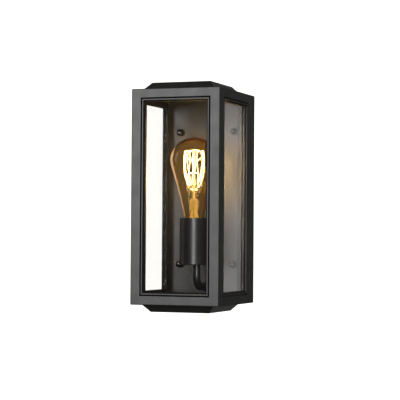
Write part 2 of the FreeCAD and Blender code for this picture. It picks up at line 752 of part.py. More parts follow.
def glass_line(inset):
    """Half outline of the lamp's glass from its crown to its neck, moved in by inset."""
    lean = math.radians(BULB_LEAN)
    centre = FreeCAD.Vector(0, 0, BULB_TOP - BULB_R)
    outward = FreeCAD.Vector(math.cos(lean), 0, -math.sin(lean))
    down = FreeCAD.Vector(-math.sin(lean), 0, -math.cos(lean))
    crown = FreeCAD.Vector(0, 0, BULB_TOP - inset)
    shoulder = centre + outward * (BULB_R - inset)
    half = FreeCAD.Vector(math.sin((math.pi / 2 + lean) / 2), 0, math.cos((math.pi / 2 + lean) / 2))
    drop = centre.z - BULB_R * math.sin(lean) - NECK_Z - WAIST_RISE
    waist = shoulder + down * (drop / math.cos(lean))
    neck = FreeCAD.Vector(NECK_R - inset, 0, NECK_Z)
    foot = FreeCAD.Vector(NECK_R - inset, 0, CAP_SHELL_TOP - GLASS_IN_CAP)
    edges = [
        Part.Arc(crown, centre + half * (BULB_R - inset), shoulder).toShape(),
        Part.makeLine(shoulder, waist),
        tangent_arc(waist, down, neck),
        Part.makeLine(neck, foot),
    ]
    return edges, crown, foot


def bulb_glass():
    outer, outer_crown, outer_foot = glass_line(0)
    inner, inner_crown, inner_foot = glass_line(BULB_WALL)
    ends = [Part.makeLine(outer_crown, inner_crown), Part.makeLine(outer_foot, inner_foot)]
    return turned(outer + inner + ends, 0, LAMP_Y)


def bulb_cap():
    return pipe(CAP_R, CAP_R - CAP_WALL, (0, LAMP_Y, CAP_SHELL_FOOT), (0, LAMP_Y, CAP_SHELL_TOP))


def bulb_cap_insulator():
    width = CAP_R - CAP_WALL
    points = [(0, TIP_TOP), (TIP_R + 1.2, TIP_TOP), (width, CAP_SHELL_FOOT),
              (width, CAP_SHELL_FOOT + 2), (0, CAP_SHELL_FOOT + 2)]
    return turned(outline(points), 0, LAMP_Y)


def bulb_tip():
    points = [(0, BULB_FOOT), (TIP_R - TIP_BEVEL, BULB_FOOT), (TIP_R, BULB_FOOT + TIP_BEVEL),
              (TIP_R, TIP_TOP), (0, TIP_TOP)]
    return turned(outline(points), 0, LAMP_Y)


def bulb_stem():
    """Flared glass foot, flattened pinch and the rod that carries the two buttons."""
    foot_z = CAP_SHELL_TOP - GLASS_IN_CAP
    foot_r = NECK_R - BULB_WALL
    low = PINCH_TOP - PINCH_H
    points = [(foot_r - 1, foot_z), (foot_r, foot_z), (foot_r, foot_z + 2), (PINCH_T + 0.6, low),
              (0, low), (0, low - 1), (PINCH_T - 0.4, low - 1)]
    flare = turned(outline(points), 0, LAMP_Y)
    pinch = box(-PINCH_W / 2, PINCH_W / 2, LAMP_Y - PINCH_T / 2, LAMP_Y + PINCH_T / 2, low, PINCH_TOP)
    stalk = rod(STEM_ROD_R, (0, LAMP_Y, PINCH_TOP), (0, LAMP_Y, TOP_BUTTON_Z))
    buttons = [ball(BUTTON_R, (0, LAMP_Y, z)) for z in (FOOT_BUTTON_Z, TOP_BUTTON_Z)]
    return fuse([flare, pinch, stalk] + buttons)


def coil_points():
    """Corners of the filament: up and down between two rings, open towards the wall."""
    count = 2 * COIL_LOOPS + 1
    corners = []
    for step in range(count):
        turn = math.radians(100 + 340 * step / (count - 1))
        radius, z = (COIL_TOP_R, COIL_TOP) if step % 2 else (COIL_FOOT_R, COIL_FOOT)
        corners.append((radius * math.cos(turn), LAMP_Y + radius * math.sin(turn), z))
    return corners


def filament():
    corners = coil_points()
    strands = [rod(COIL_R, a, b) for a, b in zip(corners, corners[1:])]
    return fuse(strands + [ball(COIL_R, corner) for corner in corners])


def filament_hooks():
    hooks = []
    for x, y, z in coil_points()[1:-1]:
        root = FreeCAD.Vector(0, LAMP_Y, TOP_BUTTON_Z if z > TOP_BUTTON_Z else FOOT_BUTTON_Z)
        reach = FreeCAD.Vector(x, y, z) - root
        start = root + reach * ((BUTTON_R - 0.05) / reach.Length)
        end = root + reach * (1 - (COIL_R + 0.15) / reach.Length)
        hooks.append(rod(HOOK_R, start, end).cut(ball(BUTTON_R, root)))
    return group(hooks)


def lead_wires():
    first, last = coil_points()[0], coil_points()[-1]
    wires = []
    for x, (end_x, end_y, end_z) in ((-LEAD_X, first), (LEAD_X, last)):
        start = (x, LAMP_Y, PINCH_TOP)
        end = (end_x, end_y, end_z - COIL_R - LEAD_R)
        level = box(-PINCH_W, PINCH_W, LAMP_Y - PINCH_T, LAMP_Y + PINCH_T, PINCH_TOP - PINCH_H, PINCH_TOP)
        wires.append(rod(LEAD_R, start, end).cut(level))
    return group(wires)


# ---------------------------------------------------------------- files

PARTS = {
    "wall_gasket": wall_gasket(),
    "wall_bracket": wall_bracket(),
    "bracket_studs": bracket_studs(),
    "spacer_tubes": spacer_tubes(),
    "wall_plate": wall_plate(),
    "nut_washers": nut_washers(),
    "dome_nuts": dome_nuts(),
    "cable_grommet": cable_grommet(),
    "terminal_block": terminal_block(),
    "terminal_screws": terminal_screws(),
    "block_screw": block_screw(),
    "earth_tag": earth_tag(),
    "earth_screw": earth_screw(),
    "earth_wire": earth_wire(),
    "live_wire": lamp_wire(-1),
    "neutral_wire": lamp_wire(1),
    "holder_arm": holder_arm(),
    "arm_locknut": arm_locknut(),
    "arm_washer": arm_washer(),
    "arm_collar": arm_collar(),
    "holder_cup": holder_cup(),
    "holder_ring": holder_ring(),
    "lamp_insulator": lamp_insulator(),
    "screw_shell": screw_shell(),
    "centre_contact": centre_contact(),
    "side_contact": side_contact(),
    "clamp_screws": clamp_screws(),
    "cage_frame": cage_frame(),
    "cage_seal": cage_seal(),
    "top_cap": cap(1),
    "bottom_cap": cap(-1),
    "top_cap_screws": cap_screws(1),
    "bottom_cap_screws": cap_screws(-1),
    "top_cage_screws": cage_screws(1),
    "bottom_cage_screws": cage_screws(-1),
    "side_frame_screws": group([frame_screw("left"), frame_screw("right")]),
    "bulb_glass": bulb_glass(),
    "bulb_cap": bulb_cap(),
    "bulb_cap_insulator": bulb_cap_insulator(),
    "bulb_tip": bulb_tip(),
    "bulb_stem": bulb_stem(),
    "filament": filament(),
    "filament_hooks": filament_hooks(),
    "lead_wires": lead_wires(),
}
for name in WINDOWS:
    PARTS[name + "_glazing_frame"] = glazing_frame(name)
    PARTS[name + "_glazing_seal"] = glazing_seal(name)
    PARTS[name + "_glass"] = glass(name)
    PARTS[name + "_glazing_bead"] = glazing_bead(name)

os.makedirs("parts", exist_ok=True)
for name, shape in PARTS.items():
    shape.exportStep("parts/" + name + ".step")
    print(name, "solids", len(shape.Solids), "valid", shape.isValid(), "volume", round(shape.Volume))
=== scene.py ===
import json
import math
import bpy
import bmesh
from mathutils import Matrix, Vector


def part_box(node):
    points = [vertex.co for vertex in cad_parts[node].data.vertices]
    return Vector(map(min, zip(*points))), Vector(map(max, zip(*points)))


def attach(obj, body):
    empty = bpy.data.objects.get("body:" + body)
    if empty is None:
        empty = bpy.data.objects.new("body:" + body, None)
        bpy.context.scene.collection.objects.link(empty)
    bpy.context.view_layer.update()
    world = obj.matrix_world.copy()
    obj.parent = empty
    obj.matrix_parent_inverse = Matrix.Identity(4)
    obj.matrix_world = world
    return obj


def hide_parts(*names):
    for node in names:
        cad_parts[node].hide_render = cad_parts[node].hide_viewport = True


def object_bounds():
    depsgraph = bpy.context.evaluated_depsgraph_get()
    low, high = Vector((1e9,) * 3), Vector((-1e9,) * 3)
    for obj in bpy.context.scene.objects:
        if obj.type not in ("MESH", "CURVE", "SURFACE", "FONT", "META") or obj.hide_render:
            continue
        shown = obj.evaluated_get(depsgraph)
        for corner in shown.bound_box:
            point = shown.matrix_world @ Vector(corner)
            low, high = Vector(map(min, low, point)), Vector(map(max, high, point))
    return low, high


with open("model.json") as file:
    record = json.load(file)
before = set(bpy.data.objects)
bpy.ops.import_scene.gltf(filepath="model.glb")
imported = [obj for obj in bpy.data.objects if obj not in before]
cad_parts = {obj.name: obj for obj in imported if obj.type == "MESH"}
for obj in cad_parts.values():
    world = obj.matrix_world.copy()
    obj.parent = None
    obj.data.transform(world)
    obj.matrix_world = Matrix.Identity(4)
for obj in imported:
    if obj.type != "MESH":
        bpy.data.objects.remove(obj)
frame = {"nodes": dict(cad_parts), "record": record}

cadBounds = [list(corner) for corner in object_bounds()]
nodes = frame["nodes"]
mm = 0.001


def middle(node):  # centre of a CAD node's box
    low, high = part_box(node)
    return (low + high) / 2


def linear(hexColour):  # sRGB hex to the linear colour that a shader takes
    channels = [int(hexColour[i:i + 2], 16) / 255 for i in (1, 3, 5)]
    return [c / 12.92 if c <= 0.04045 else ((c + 0.055) / 1.055) ** 2.4 for c in channels] + [1.0]


def addNode(tree, kind, inputs=None, links=None, **settings):  # one shader node, set up and linked
    node = tree.nodes.new("ShaderNode" + kind)
    for name, value in settings.items():
        setattr(node, name, value)
    for name, value in (inputs or {}).items():
        node.inputs[name].default_value = value
    for name, source in (links or {}).items():
        tree.links.new(source, node.inputs[name])
    return node


def newMaterial(name):
    material = bpy.data.materials.new(name)
    material.use_nodes = True
    material.node_tree.nodes.clear()
    return material, material.node_tree


def finishMaterial(tree, surface, volume=None):
    output = addNode(tree, "OutputMaterial", links={"Surface": surface})
    if volume:
        tree.links.new(volume, output.inputs["Volume"])


def coat(name, look):  # a surface with a fine grain in its height, broad drifts in its gloss and tone
    material, tree = newMaterial(name)
    place = addNode(tree, "TexCoord").outputs["Object"]
    drawn = addNode(tree, "Mapping", {"Scale": look.get("stretch", (1, 1, 1))}, {"Vector": place}).outputs[0]
    grain = addNode(tree, "TexNoise", {"Scale": 1 / look["grain"], "Detail": 3.0},
                    {"Vector": drawn}).outputs["Fac"]
    drift = addNode(tree, "TexNoise", {"Scale": 1 / look["drift"], "Detail": 2.0},
                    {"Vector": place}).outputs["Fac"]
    bump = addNode(tree, "Bump", {"Strength": 1.0, "Distance": look["depth"]}, {"Height": grain})
    tone = addNode(tree, "ValToRGB", links={"Fac": drift})
    for element, stop, colour in zip(tone.color_ramp.elements, (0.35, 0.65), ("dark", "light")):
        element.position = stop
        element.color = linear(look[colour])
    gloss = addNode(tree, "MapRange", {"From Min": 0.3, "From Max": 0.7, "To Min": look["gloss"][0],
                                       "To Max": look["gloss"][1]}, {"Value": drift})
    settings = {"Metallic": look.get("metallic", 0.0)}
    if settings["Metallic"] < 1:
        settings["IOR"] = look["ior"]
    for socket in ("Coat Weight", "Coat Roughness", "Subsurface Weight", "Subsurface Scale"):
        if socket in look:
            settings[socket] = look[socket]
    surface = addNode(tree, "BsdfPrincipled", settings, {
        "Base Color": tone.outputs["Color"], "Roughness": gloss.outputs[0], "Normal": bump.outputs[0]})
    if "paintedShadeBehind" in look:  # painted shade: from this depth back, over a millimetre, the face turns near black where the groove lies in shadow
        depth = addNode(tree, "SeparateXYZ", links={"Vector": place}).outputs["Y"]
        edge = look["paintedShadeBehind"]
        paintedShadeMask = addNode(tree, "MapRange", {"From Min": edge, "From Max": edge + mm},
                         {"Value": depth}).outputs[0]
        # the painted shade itself: a dull near-black that stands in for the groove's shadow
        paintedShade = addNode(tree, "BsdfPrincipled", {"Base Color": linear(look["paintedShade"]), "Roughness": 0.9,
                                                  "IOR": 1.5, "Specular IOR Level": 0.1})
        surface = addNode(tree, "MixShader", links={0: paintedShadeMask, 1: surface.outputs[0], 2: paintedShade.outputs[0]})
    finishMaterial(tree, surface.outputs[0])
    return material


# Die-cast aluminium under a fine-textured polyester powder coat: a soft even sheen, no mirror image.
# The coat's texture is about 0.3 mm and is drawn three times coarser, so that it shows.
castCoatLook = {
    "dark": "#1b1b1a", "light": "#20201f", "ior": 1.5, "gloss": (0.42, 0.48),
    "grain": 0.9 * mm, "depth": 0.05 * mm, "drift": 18 * mm}
cageCoat = coat("powderCoatedCastAluminium", castCoatLook)

# The same coat on the front rim, with painted shade on the flange behind it: a dark line all round the
# window, where the groove lies in shadow.
rimDepthBeforePaintedShade = 1.2 * mm
rimCoatWithPaintedShade = coat("powderCoatedFrontRimWithPaintedShade", {
    **castCoatLook, "paintedShade": "#060606",
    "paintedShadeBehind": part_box("front_glazing_frame")[0].y + rimDepthBeforePaintedShade})

# Sheet steel under the same black laid smoother: a hair warmer, and flatter than the casting.
plateCoat = coat("powderCoatedSheetSteel", {
    "dark": "#1b1a19", "light": "#201f1e", "ior": 1.5, "gloss": (0.42, 0.48),
    "grain": 1.2 * mm, "depth": 0.03 * mm, "drift": 25 * mm})

# Spun and bent steel in a smooth satin black enamel: a soft upright streak of light down each curve.
satinEnamel = coat("satinBlackEnamelledSteel", {
    "dark": "#121212", "light": "#171717", "ior": 1.5, "gloss": (0.36, 0.42),
    "grain": 2.5 * mm, "depth": 0.004 * mm, "drift": 15 * mm})

# Black nickel plate over polished brass: small bright mirror spots on a black dome.
blackNickel = coat("blackNickelPlatedBrass", {
    "dark": "#4a4b52", "light": "#56565c", "metallic": 1.0, "gloss": (0.2, 0.28),
    "grain": 1.0 * mm, "depth": 0.004 * mm, "drift": 4 * mm})

# Blackened steel screws: dark metal with a dull oily shine.
blackenedSteel = coat("blackenedScrewSteel", {
    "dark": "#1f1f20", "light": "#2a2a2b", "metallic": 1.0, "gloss": (0.34, 0.44),
    "grain": 0.5 * mm, "depth": 0.01 * mm, "drift": 3 * mm})

# Bright zinc electroplate with a clear passivate: pale metal with faint cloudy patches.
zincPlate = coat("zincPlatedSteel", {
    "dark": "#a3a8ad", "light": "#c3c6c6", "metallic": 1.0, "gloss": (0.3, 0.42),
    "grain": 0.8 * mm, "depth": 0.012 * mm, "drift": 9 * mm})

# Stamped brass, left bare inside the fitting: yellow metal with fine rolling lines.
stampedBrass = coat("stampedBrass", {
    "dark": "#b48a3c", "light": "#cfa856", "metallic": 1.0, "gloss": (0.24, 0.34),
    "grain": 0.3 * mm, "depth": 0.006 * mm, "drift": 6 * mm, "stretch": (0.1, 1, 1)})

# Nickel-plated brass lamp cap, rolled thin: a slightly warm silver.
nickelPlate = coat("nickelPlatedLampCap", {
    "dark": "#a9a397", "light": "#c4bfb4", "metallic": 1.0, "gloss": (0.2, 0.32),
    "grain": 0.8 * mm, "depth": 0.006 * mm, "drift": 7 * mm})

# Moulded or sheet EPDM: a dull soft black with a fine leathery skin.
epdmRubber = coat("epdmRubber", {
    "dark": "#191919", "light": "#222121", "ior": 1.52, "gloss": (0.7, 0.82),
    "grain": 0.5 * mm, "depth": 0.03 * mm, "drift": 8 * mm})

# Pressed and glazed porcelain: a wet white skin over a warm body.
glazedPorcelain = coat("glazedPorcelain", {
    "dark": "#e6e1d4", "light": "#f1ede2", "ior": 1.5, "gloss": (0.16, 0.24), "grain": 1.6 * mm,
    "depth": 0.02 * mm, "drift": 10 * mm, "Subsurface Weight": 0.15, "Subsurface Scale": 1 * mm,
    "Coat Weight": 0.5, "Coat Roughness": 0.06})

# Moulded natural polyamide: milky, and a little waxy at its edges.
naturalPolyamide = coat("mouldedPolyamide", {
    "dark": "#dcd8c8", "light": "#e6e3d6", "ior": 1.53, "gloss": (0.42, 0.52), "grain": 0.6 * mm,
    "depth": 0.01 * mm, "drift": 6 * mm, "Subsurface Weight": 0.3, "Subsurface Scale": 2 * mm})

# Fused black glass between the lamp cap's shell and its contact: shiny and pitted.
blackGlass = coat("fusedBlackCapGlass", {
    "dark": "#0e0d10", "light": "#17161a", "ior": 1.52, "gloss": (0.08, 0.16),
    "grain": 1.0 * mm, "depth": 0.03 * mm, "drift": 4 * mm})

# Lead-free solder that set in a blob: grey metal, frosty in places.
solder = coat("setTinSolder", {
    "dark": "#8f9092", "light": "#c4c5c6", "metallic": 1.0, "gloss": (0.26, 0.5),
    "grain": 0.9 * mm, "depth": 0.04 * mm, "drift": 2 * mm})

# Drawn nickel and molybdenum wire: thin bright lines.
drawnWire = coat("drawnNickelWire", {
    "dark": "#8e8b84", "light": "#b3aea3", "metallic": 1.0, "gloss": (0.22, 0.34),
    "grain": 0.3 * mm, "depth": 0.003 * mm, "drift": 2 * mm})


def wireCover(name, dark, light):  # extruded PVC: smooth, with a slight sheen
    return coat(name, {"dark": dark, "light": light, "ior": 1.53, "gloss": (0.34, 0.42),
                       "grain": 0.6 * mm, "depth": 0.008 * mm, "drift": 5 * mm})


def stripedCover(stripe):  # the same PVC in the green and yellow stripes of an earth wire, stripe metres wide
    material, tree = newMaterial("extrudedPvcGreenYellow")
    place = addNode(tree, "TexCoord").outputs["Object"]
    wave = addNode(tree, "TexWave", {"Scale": 1 / (6 * stripe)}, {"Vector": place},  # about 1/6 m at scale 1
                   bands_direction="DIAGONAL")
    ramp = addNode(tree, "ValToRGB", links={"Fac": wave.outputs["Fac"]})
    ramp.color_ramp.interpolation = "CONSTANT"
    ramp.color_ramp.elements[0].color = linear("#2f7d32")
    ramp.color_ramp.elements[1].color = linear("#e3c62c")
    ramp.color_ramp.elements[1].position = 0.5
    surface = addNode(tree, "BsdfPrincipled", {"IOR": 1.53, "Roughness": 0.38},
                      {"Base Color": ramp.outputs[0]})
    finishMaterial(tree, surface.outputs[0])
    return material


def glassSurface(name, look):  # sees straight through, and mirrors more towards its edges as glass does
    material, tree = newMaterial(name)
    facing = addNode(tree, "LayerWeight", {"Blend": 0.5}).outputs["Facing"]
    steep = addNode(tree, "Math", {1: 5.0}, {0: facing}, operation="POWER").outputs[0]
    headOn = ((look["ior"] - 1) / (look["ior"] + 1)) ** 2
    mirror = addNode(tree, "MapRange", {"To Min": headOn, "To Max": 1.0}, {"Value": steep}).outputs[0]
    place = addNode(tree, "TexCoord").outputs["Object"]
    ripple = addNode(tree, "TexNoise", {"Scale": 1 / look["ripple"], "Detail": 1.0},
                     {"Vector": place}).outputs["Fac"]
    bump = addNode(tree, "Bump", {"Strength": 1.0, "Distance": look["depth"]}, {"Height": ripple})
    clear = addNode(tree, "BsdfTransparent", {"Color": linear(look["tint"])})
    if "haze" in look:  # a trace of light caught and spread in the glass itself
        milk = addNode(tree, "BsdfTranslucent", {"Color": linear(look["hazeTone"])},
                       {"Normal": bump.outputs[0]})
        clear = addNode(tree, "MixShader", {0: look["haze"]}, {1: clear.outputs[0], 2: milk.outputs[0]})
    gloss = addNode(tree, "BsdfAnisotropic", {"Roughness": look["roughness"]}, {"Normal": bump.outputs[0]})
    mixed = addNode(tree, "MixShader", links={0: mirror, 1: clear.outputs[0], 2: gloss.outputs[0]})
    volume = None
    if "body" in look:
        volume = addNode(tree, "VolumeAbsorption", {"Color": linear(look["body"]),
                                                    "Density": look["density"]}).outputs[0]
    finishMaterial(tree, mixed.outputs[0], volume)
    return material


# Clear float glass, 3 mm: nearly invisible face on, a pale veil of reflection at a slant.
floatGlass = glassSurface("clearFloatGlass", {
    "ior": 1.52, "tint": "#ffffff", "roughness": 0.015, "ripple": 60 * mm, "depth": 0.01 * mm})

# Blown soda glass stained amber, under 1 mm thick: honey colour that deepens to brown at the rim.
amberGlass = glassSurface("blownAmberGlass", {
    "ior": 1.52, "tint": "#ffffff", "roughness": 0.02, "ripple": 25 * mm, "depth": 0.03 * mm,
    "body": "#ffe47c", "density": 800.0, "haze": 0.0002, "hazeTone": "#ffe070"})

# Pressed lead glass of the lamp's stem: thick and uneven, it fills with the filament's light.
stemGlass = glassSurface("pressedLeadGlass", {
    "ior": 1.56, "tint": "#fff4dc", "roughness": 0.05, "ripple": 2.6 * mm, "depth": 1.6 * mm,
    "haze": 0.5, "hazeTone": "#fffbe0"})


filamentHeat = {"cool": "#ffe4ac", "hot": "#fff0c8", "patch": 4 * mm, "strength": 8.5}


def glowingWire(look):  # carbonised filament at a soft yellow heat, whiter in places
    material, tree = newMaterial("glowingCarbonFilament")
    place = addNode(tree, "TexCoord").outputs["Object"]
    patches = addNode(tree, "TexNoise", {"Scale": 1 / look["patch"], "Detail": 2.0}, {"Vector": place})
    heat = addNode(tree, "ValToRGB", links={"Fac": patches.outputs["Fac"]})
    heat.color_ramp.elements[0].color = linear(look["cool"])
    heat.color_ramp.elements[1].color = linear(look["hot"])
    glow = addNode(tree, "Emission", {"Strength": look["strength"]}, {"Color": heat.outputs["Color"]})
    finishMaterial(tree, glow.outputs[0])
    return material


print("materials made")

holderPieces = ("holder_cup", "holder_arm", "holder_ring", "arm_collar")  # all satin, while the cage is matt
finishOf = {
    "black_coat": cageCoat, "plate_coat": plateCoat, "gloss_black": blackNickel, "zinc_steel": zincPlate,
    "black_screw": blackenedSteel, "brass": stampedBrass, "rubber": epdmRubber, "porcelain": glazedPorcelain,
    "nylon": naturalPolyamide, "brown_pvc": wireCover("extrudedPvcBrown", "#54301c", "#643a22"),
    "blue_pvc": wireCover("extrudedPvcBlue", "#1c4f8c", "#235c9e"), "earth_pvc": stripedCover(3 * mm),
    "clear_glass": floatGlass, "amber_glass": amberGlass, "lamp_cap": nickelPlate, "cap_glass": blackGlass,
    "solder": solder, "filament": glowingWire(filamentHeat)}

for part in frame["record"]["subparts"]:  # every CAD node gets the finish of its slot
    node = nodes[part["node"]]
    node.data.materials.clear()
    finish = satinEnamel if part["node"] in holderPieces else finishOf[part["material_slot"]]
    node.data.materials.append(rimCoatWithPaintedShade if part["node"] == "front_glazing_frame" else finish)


def pieceFrom(name, mesh, body, material, stoodFor):  # a new piece in its place, on its body
    piece = bpy.data.objects.new(name, mesh)
    bpy.context.scene.collection.objects.link(piece)
    mesh.materials.append(material)
    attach(piece, body)
    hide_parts(*stoodFor)
    return piece


def arcOf(centre, radius, start, end, count):  # points (radius, height) round a centre, angles in degrees
    steps = [math.radians(start + (end - start) * i / count) for i in range(count + 1)]
    return [(centre[0] + radius * math.cos(a), centre[1] + radius * math.sin(a)) for a in steps]


def skinnedMesh(name, bm, rings):  # faces from each ring of corners to the next
    for lower, upper in zip(rings, rings[1:]):
        for i in range(len(lower)):
            j = (i + 1) % len(lower)
            corners = dict.fromkeys((lower[i], lower[j], upper[j], upper[i]))
            bm.faces.new(list(corners)).smooth = True  # a triangle where one of the rings is a point
    bmesh.ops.recalc_face_normals(bm, faces=bm.faces)
    mesh = bpy.data.meshes.new(name)
    bm.to_mesh(mesh)
    bm.free()
    return mesh


def ovalMesh(name, sections, segments):  # ovals (half width, half depth, height) stacked on the lamp's axis
    bm = bmesh.new()
    rings = []
    for wide, deep, height in sections:
        if wide == 0.0:
            rings.append([bm.verts.new((lampAxis.x, lampAxis.y, height))] * segments)
            continue
        turns = [2 * math.pi * i / segments for i in range(segments)]
        rings.append([bm.verts.new((lampAxis.x + wide * math.cos(a), lampAxis.y + deep * math.sin(a), height))
                      for a in turns])
    return skinnedMesh(name, bm, rings)


def wireMesh(name, lines, radius, resolution=6):  # round wires along smooth lines, as one mesh
    curve = bpy.data.curves.new(name, "CURVE")
    curve.dimensions = "3D"
    curve.bevel_depth = radius
    curve.bevel_resolution = 3
    curve.resolution_u = resolution
    curve.use_fill_caps = True
    for line in lines:
        spline = curve.splines.new("NURBS")
        spline.points.add(len(line) - 1)
        for point, place in zip(spline.points, line):
            point.co = (*place, 1.0)
        spline.order_u = 3
        spline.use_endpoint_u = True
    holder = bpy.data.objects.new(name, curve)
    mesh = bpy.data.meshes.new_from_object(holder)
    bpy.data.objects.remove(holder)
    mesh.shade_smooth()
    return mesh


lampAxis = middle("bulb_glass")
glassFoot, glassCrown = (corner.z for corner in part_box("bulb_glass"))
capFoot, capTop = (corner.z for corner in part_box("bulb_cap"))
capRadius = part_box("bulb_cap")[1].x

envelope = {
    "wall": 0.8 * mm, "belly": 32.0 * mm, "lean": 15.9,   # the pear's side, degrees from upright
    "straight": 31.0 * mm, "neck": 12.6 * mm, "neckAboveCap": 2.3 * mm, "segments": 96,
    "nipple": 2.2 * mm, "nippleRadius": 2.2 * mm,         # where the pump's tube was sealed off
    "bellySteps": 90, "neckSteps": 24}


def pearLine(size, inset):  # half outline from the crown down to the foot
    lean = math.radians(size["lean"])
    belly = size["belly"]
    centre = glassCrown - belly
    squash = (belly - inset - size["nipple"]) / (belly - inset)
    line = [(r, centre + (z - centre) * squash + size["nipple"] * math.exp(-(r / size["nippleRadius"]) ** 2))
            if z > centre else (r, z)
            for r, z in arcOf((0, centre), belly - inset, 90, -size["lean"], size["bellySteps"])]
    shoulder = Vector(line[-1])
    waist = shoulder - Vector((math.sin(lean), math.cos(lean))) * size["straight"]
    neck = Vector((size["neck"] - inset, capTop + size["neckAboveCap"]))
    chord = neck - waist
    down = Vector((-math.sin(lean), -math.cos(lean)))
    across = Vector((-down.y, down.x))
    radius = chord.length_squared / (2 * chord.dot(across))
    hub = waist + across * radius
    start = math.atan2((waist - hub).y, (waist - hub).x)
    end = math.atan2((neck - hub).y, (neck - hub).x)
    turn = (end - start + math.pi) % (2 * math.pi) - math.pi
    line += arcOf(hub, abs(radius), math.degrees(start), math.degrees(start + turn), size["neckSteps"])
    line.append((size["neck"] - inset, glassFoot))
    line[0] = (0.0, line[0][1])
    return line


def bulbEnvelope(size):  # blown in a mould, with its neck sunk in the cap
    outline = pearLine(size, 0.0) + pearLine(size, size["wall"])[::-1]
    mesh = ovalMesh("bulb_envelope", [(r, r, z) for r, z in outline], size["segments"])
    return pieceFrom("bulb_envelope", mesh, "bulb", amberGlass, ["bulb_glass"])


bulbEnvelope(envelope)

coil = {
    "wire": 0.36 * mm, "loops": 6, "ends": (100, 440),      # degrees round the stem, from end to end
    "topRadius": 12.8 * mm, "footRadius": 9.0 * mm, "topDrop": 19.9 * mm, "footDrop": 65.9 * mm,
    "bows": ((0.2, 14.3 * mm), (0.7, 13.4 * mm)),           # how far down a leg, and how wide there
    "arch": (2.6 * mm, -1.5), "vee": (0.9 * mm, 4.0),       # a top or low turn's half-width, its legs' height
    "bend": 0.75}                                           # and its flat, both as shares of the half-width


def coilCorners(size):  # where the filament turns back, up and down round the stem
    count = 2 * size["loops"] + 1
    first, last = size["ends"]
    corners = []
    for step in range(count):
        turn = math.radians(first + (last - first) * step / (count - 1))
        ring = "top" if step % 2 else "foot"
        radius, drop = size[ring + "Radius"], size[ring + "Drop"]
        corners.append(Vector((lampAxis.x + radius * math.cos(turn), lampAxis.y + radius * math.sin(turn),
                               glassCrown - drop)))
    return corners


def hairpinFilament(size):  # one long loop of wire, hung in hairpins from two rings of hooks
    corners = coilCorners(size)
    hub = Vector((lampAxis.x, lampAxis.y, 0))
    line = [corners[0]]
    for i, corner in enumerate(corners[1:], 1):
        top = i % 2
        for down, wide in size["bows"][::-1] if top else size["bows"]:
            point = corners[i - 1].lerp(corner, 1 - down if top else down)
            outward = (Vector((point.x, point.y, 0)) - hub).normalized() * wide
            line.append(Vector((hub.x + outward.x, hub.y + outward.y, point.z)))
        if i == len(corners) - 1:
            break
        half, legs = size["arch"] if top else size["vee"]
        radial = (Vector((corner.x, corner.y, 0)) - hub).normalized()
        along = Vector((-radial.y, radial.x, 0)) * half
        rise = Vector((0, 0, legs * half))
        flat = along * size["bend"]
        line += [corner - along + rise, corner - flat, corner + flat, corner + along + rise]
    line.append(corners[-1])
    mesh = wireMesh("hairpin_filament", [line], size["wire"])
    return pieceFrom("hairpin_filament", mesh, "bulb", finishOf["filament"], ["filament"])


hairpinFilament(coil)

stem = {
    "segments": 48, "steps": 16,
    "throat": 4.6 * mm, "flare": 2.2,                           # the trumpet's narrow radius and its curve
    "hollowSteps": 12, "skirt": (0.9 * mm, 0.81 * mm),          # how far up it is hollow, and its wall
    "hollowDrop": 0.3 * mm, "hollowTip": 2.0 * mm,
    "pinchRise": 26.0 * mm, "pinchHeight": 13.0 * mm,           # its top, above the holder's cup
    "pinchHalf": (6.3 * mm, 2.0 * mm), "pinchFrom": 0.7, "pinchLip": 1.0 * mm,
    # each end's outline: shares of the pinch's half widths or the rod, and the height from the pinch's top
    "pinchEdge": ((1.0, 1.0, -2.5 * mm), (0.93, 0.97, -1.2 * mm), (0.6, 0.9, -0.2 * mm)),
    "rod": 1.6 * mm, "rodRoot": ((1.5, 1.1, 0.3 * mm), (1.0, 1.0, 1.5 * mm)),
    "button": 2.6 * mm, "lowButton": 69.9 * mm}                 # below the crown
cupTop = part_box("holder_cup")[1].z
stemFoot, stemTop = (corner.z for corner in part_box("bulb_stem"))
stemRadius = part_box("bulb_stem")[1].x


def ballSections(height, radius, rod):  # a bead of glass on the rod
    low = -math.degrees(math.acos(rod / radius))
    return [(r, r, z) for r, z in arcOf((0, height), radius, low, -low, count=12)]


def glassStem(size):  # flared foot, flat pinch on the leads, and a rod with two beads that hold the hooks
    pinchTop = cupTop + size["pinchRise"]
    pinchFoot = pinchTop - size["pinchHeight"]
    rod, (wide, thin) = size["rod"], size["pinchHalf"]
    skirt = []
    for i in range(size["steps"] + 1):  # a trumpet curve from the foot, flattened as it nears the pinch
        t = i / size["steps"]
        throat = size["throat"] + (stemRadius - size["throat"]) * (1 - t) ** size["flare"]
        blend = max(0.0, (t - size["pinchFrom"]) / (1 - size["pinchFrom"])) ** 2
        skirt.append((throat + (wide - throat) * blend, throat + (thin - throat) * blend,
                      stemFoot + (pinchFoot - stemFoot) * t))
    hollow = [(x - size["skirt"][0], y - size["skirt"][1], z - size["hollowDrop"] * (i > 0))
              for i, (x, y, z) in enumerate(skirt[:size["hollowSteps"]])]
    sections = [(0.0, 0.0, hollow[-1][2] + size["hollowTip"])] + hollow[::-1] + skirt
    sections.append((wide, thin, pinchFoot + size["pinchLip"]))
    sections += [(wide * x, thin * y, pinchTop + rise) for x, y, rise in size["pinchEdge"]]
    sections += [(rod * x, rod * y, pinchTop + rise) for x, y, rise in size["rodRoot"]]
    sections += ballSections(glassCrown - size["lowButton"], size["button"], rod)
    sections += ballSections(stemTop - size["button"], size["button"], rod)[:-1]
    sections.append((0.0, 0.0, stemTop))
    mesh = ovalMesh("glass_stem", sections, size["segments"])
    return pieceFrom("glass_stem", mesh, "bulb", stemGlass, ["bulb_stem"])


glassStem(stem)

hook = {"wire": 0.2 * mm, "eye": 0.55 * mm, "sunk": 1.0 * mm,
        "curl": ((-2.5, 0), (-0.9, -1), (1, -1), (1, 1), (-0.6, 1))}  # past and above the turn, in eyes


